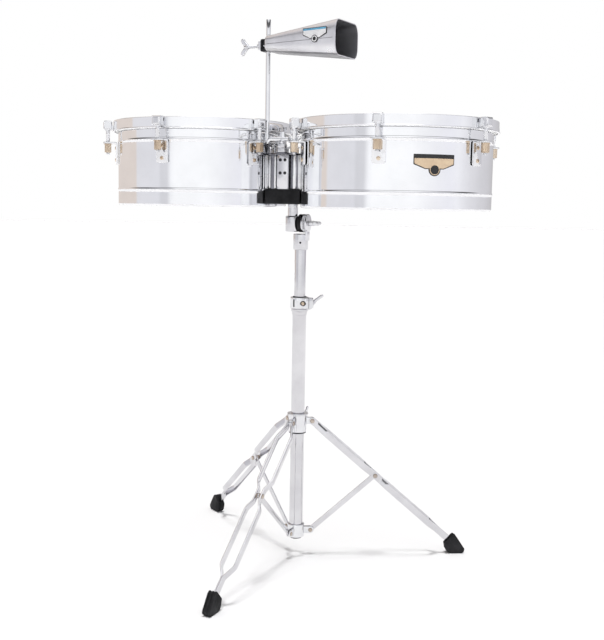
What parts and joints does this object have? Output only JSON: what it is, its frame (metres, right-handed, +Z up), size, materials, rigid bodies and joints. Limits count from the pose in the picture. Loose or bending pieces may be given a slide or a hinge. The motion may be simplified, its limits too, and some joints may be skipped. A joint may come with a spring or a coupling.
{
  "type": "timbales",
  "caption": "Pair of chrome steel drums with lugs and rims on a tilting, height-adjustable folding tripod, with a cowbell on a bent rod between them.",
  "frame": {"origin": "on the floor, on the axis of the stand's upright tube", "axes": "+Z up; +X towards the large drum's side; +Y away from the side the badge faces"},
  "size_m": [0.8214, 0.6478, 1.112],
  "materials": {
    "chrome": "polished chrome plating",
    "shell_steel": "polished chromed steel shell",
    "zinc_tan": "tan zinc-plated steel",
    "black_plastic": "matt black",
    "dark_screw": "black oxide",
    "drum_film": "coated white film",
    "bell_steel": "satin brushed",
    "badge_enamel": "enamelled plate",
    "foot_rubber": "ribbed rubber"
  },
  "bodies": {
    "base": {"lower_tube": "chrome", "tube_cap": "black_plastic", "lower_collar": "chrome", "height_clamp": "chrome", "height_bushing": "black_plastic"},
    "strut_1": {"strut_1": "chrome"},
    "leg_1": {"leg_1": "chrome", "foot_1": "foot_rubber"},
    "strut_2": {"strut_2": "chrome"},
    "leg_2": {"leg_2": "chrome", "foot_2": "foot_rubber"},
    "strut_3": {"strut_3": "chrome"},
    "leg_3": {"leg_3": "chrome", "foot_3": "foot_rubber"},
    "leg_collar": {"leg_collar": "chrome"},
    "leg_collar_bolt": {"leg_collar_bolt": "chrome"},
    "height_wing_bolt": {"height_wing_bolt": "chrome"},
    "stem": {"upper_tube": "chrome", "tilter_lower": "chrome"},
    "tilter_handle": {"tilter_handle": "chrome"},
    "tilter_top": {"tilter_upper": "chrome", "post": "chrome"},
    "drums": {"small_shell": "shell_steel", "small_rim": "chrome", "small_head": "drum_film", "small_lugs": "chrome", "small_hook_rods": "chrome", "small_lug_screws": "zinc_tan", "large_shell": "shell_steel", "large_rim": "chrome", "large_head": "drum_film", "large_lugs": "chrome", "large_hook_rods": "chrome", "large_lug_screws": "zinc_tan", "large_badge": "badge_enamel", "bracket_block": "black_plastic", "bracket_frame": "chrome", "bracket_front_plate": "chrome", "bracket_top_plate": "chrome", "bracket_screws": "dark_screw", "rod_clamp": "chrome"},
    "small_nut_1": {"small_nut_1": "zinc_tan"},
    "small_nut_2": {"small_nut_2": "zinc_tan"},
    "small_nut_3": {"small_nut_3": "zinc_tan"},
    "small_nut_4": {"small_nut_4": "zinc_tan"},
    "small_nut_5": {"small_nut_5": "zinc_tan"},
    "small_nut_6": {"small_nut_6": "zinc_tan"},
    "large_nut_1": {"large_nut_1": "zinc_tan"},
    "large_nut_2": {"large_nut_2": "zinc_tan"},
    "large_nut_3": {"large_nut_3": "zinc_tan"},
    "large_nut_4": {"large_nut_4": "zinc_tan"},
    "large_nut_5": {"large_nut_5": "zinc_tan"},
    "large_nut_6": {"large_nut_6": "zinc_tan"},
    "bracket_wing_bolt": {"bracket_wing_bolt": "chrome"},
    "rod_clamp_knob": {"rod_clamp_knob": "chrome"},
    "bell_rod": {"cowbell_rod": "chrome"},
    "bell": {"cowbell": "bell_steel", "cowbell_clamp": "chrome", "cowbell_badge": "badge_enamel"},
    "bell_wing_bolt": {"cowbell_wing_bolt": "chrome"}
  },
  "joints": [
    {"name": "tripod_fold", "type": "hinge", "parent": "base", "child": "strut_1", "pos_m": [0.03092, 0.00216, 0.0545], "axis": [0.0698, -0.9976, 0], "range_deg": [0, 44]},
    {"name": "strut_2_fold", "type": "hinge", "parent": "base", "child": "strut_2", "pos_m": [-0.01733, 0.0257, 0.0545], "axis": [0.829, 0.5592, 0], "range_deg": [0, 44]},
    {"name": "strut_3_fold", "type": "hinge", "parent": "base", "child": "strut_3", "pos_m": [-0.01359, -0.02786, 0.0545], "axis": [-0.8988, 0.4384, 0], "range_deg": [0, 44]},
    {"name": "leg_1_fold", "type": "hinge", "parent": "strut_1", "child": "leg_1", "pos_m": [0.16859, 0.01179, 0.17475], "axis": [0.0698, -0.9976, 0], "range_deg": [-88, 0]},
    {"name": "leg_2_fold", "type": "hinge", "parent": "strut_2", "child": "leg_2", "pos_m": [-0.0945, 0.14011, 0.17475], "axis": [0.829, 0.5592, 0], "range_deg": [-88, 0]},
    {"name": "leg_3_fold", "type": "hinge", "parent": "strut_3", "child": "leg_3", "pos_m": [-0.07408, -0.1519, 0.17475], "axis": [-0.8988, 0.4384, 0], "range_deg": [-88, 0]},
    {"name": "leg_collar_lift", "type": "hinge", "parent": "leg_1", "child": "leg_collar", "pos_m": [0.03092, 0.00216, 0.295], "axis": [0.0698, -0.9976, 0], "range_deg": [0, 44]},
    {"name": "leg_collar_bolt_turn", "type": "hinge", "parent": "leg_collar", "child": "leg_collar_bolt", "pos_m": [0, 0, 0.301], "axis": [0.4384, 0.8988, 0], "continuous": true},
    {"name": "height_bolt_turn", "type": "hinge", "parent": "base", "child": "height_wing_bolt", "pos_m": [0.01471, -0.01234, 0.548], "axis": [0.6428, 0.766, 0], "continuous": true},
    {"name": "height", "type": "slide", "parent": "base", "child": "stem", "axis": [0, 0, 1], "range_m": [-0.09, 0.12]},
    {"name": "tilter_handle_turn", "type": "hinge", "parent": "stem", "child": "tilter_handle", "pos_m": [0, 0, 0.714], "axis": [0.9511, -0.309, 0], "continuous": true},
    {"name": "tilt", "type": "hinge", "parent": "stem", "child": "tilter_top", "pos_m": [0, 0, 0.714], "axis": [0.9511, -0.309, 0], "range_deg": [-40, 40]},
    {"name": "drums_swivel", "type": "hinge", "parent": "tilter_top", "child": "drums", "pos_m": [-0.01712, 0.00556, 0.8], "axis": [0, 0, 1], "continuous": true},
    {"name": "small_nut_1_turn", "type": "hinge", "parent": "drums", "child": "small_nut_1", "pos_m": [-0.28071, -0.11804, 0.863], "axis": [0, 0, 1], "continuous": true},
    {"name": "small_nut_2_turn", "type": "hinge", "parent": "drums", "child": "small_nut_2", "pos_m": [-0.08424, -0.08517, 0.863], "axis": [0, 0, 1], "continuous": true},
    {"name": "small_nut_3_turn", "type": "hinge", "parent": "drums", "child": "small_nut_3", "pos_m": [-0.01448, 0.10142, 0.863], "axis": [0, 0, 1], "continuous": true},
    {"name": "small_nut_4_turn", "type": "hinge", "parent": "drums", "child": "small_nut_4", "pos_m": [-0.14118, 0.25512, 0.863], "axis": [0, 0, 1], "continuous": true},
    {"name": "small_nut_5_turn", "type": "hinge", "parent": "drums", "child": "small_nut_5", "pos_m": [-0.33765, 0.22225, 0.863], "axis": [0, 0, 1], "continuous": true},
    {"name": "small_nut_6_turn", "type": "hinge", "parent": "drums", "child": "small_nut_6", "pos_m": [-0.40741, 0.03566, 0.863], "axis": [0, 0, 1], "continuous": true},
    {"name": "large_nut_1_turn", "type": "hinge", "parent": "drums", "child": "large_nut_1", "pos_m": [0.13394, -0.26602, 0.863], "axis": [0, 0, 1], "continuous": true},
    {"name": "large_nut_2_turn", "type": "hinge", "parent": "drums", "child": "large_nut_2", "pos_m": [0.33862, -0.21118, 0.863], "axis": [0, 0, 1], "continuous": true},
    {"name": "large_nut_3_turn", "type": "hinge", "parent": "drums", "child": "large_nut_3", "pos_m": [0.39346, -0.0065, 0.863], "axis": [0, 0, 1], "continuous": true},
    {"name": "large_nut_4_turn", "type": "hinge", "parent": "drums", "child": "large_nut_4", "pos_m": [0.24363, 0.14334, 0.863], "axis": [0, 0, 1], "continuous": true},
    {"name": "large_nut_5_turn", "type": "hinge", "parent": "drums", "child": "large_nut_5", "pos_m": [0.03895, 0.0885, 0.863], "axis": [0, 0, 1], "continuous": true},
    {"name": "large_nut_6_turn", "type": "hinge", "parent": "drums", "child": "large_nut_6", "pos_m": [-0.01589, -0.11618, 0.863], "axis": [0, 0, 1], "continuous": true},
    {"name": "bracket_wing_bolt_turn", "type": "hinge", "parent": "drums", "child": "bracket_wing_bolt", "pos_m": [-0.01712, 0.00556, 0.88], "axis": [0, 0, 1], "continuous": true},
    {"name": "rod_clamp_knob_turn", "type": "hinge", "parent": "drums", "child": "rod_clamp_knob", "pos_m": [-0.03956, -0.07968, 0.88], "axis": [0, 0, 1], "continuous": true},
    {"name": "bell_rod_tilt", "type": "hinge", "parent": "drums", "child": "bell_rod", "pos_m": [-0.03956, -0.07968, 0.863], "axis": [0.9511, -0.309, 0], "range_deg": [-12, 6]},
    {"name": "bell_swivel", "type": "hinge", "parent": "bell_rod", "child": "bell", "pos_m": [-0.06999, -0.06979, 1.062], "axis": [0, 0, 1], "continuous": true},
    {"name": "bell_wing_bolt_turn", "type": "hinge", "parent": "bell", "child": "bell_wing_bolt", "pos_m": [-0.06999, -0.06979, 1.062], "axis": [0.8572, -0.515, 0], "continuous": true}
  ],
  "couplings": [
    {"joint": "strut_2_fold", "follows": "tripod_fold", "ratio": 1},
    {"joint": "strut_3_fold", "follows": "tripod_fold", "ratio": 1},
    {"joint": "leg_1_fold", "follows": "tripod_fold", "ratio": -2},
    {"joint": "leg_2_fold", "follows": "tripod_fold", "ratio": -2},
    {"joint": "leg_3_fold", "follows": "tripod_fold", "ratio": -2},
    {"joint": "leg_collar_lift", "follows": "tripod_fold", "ratio": 1}
  ]
}
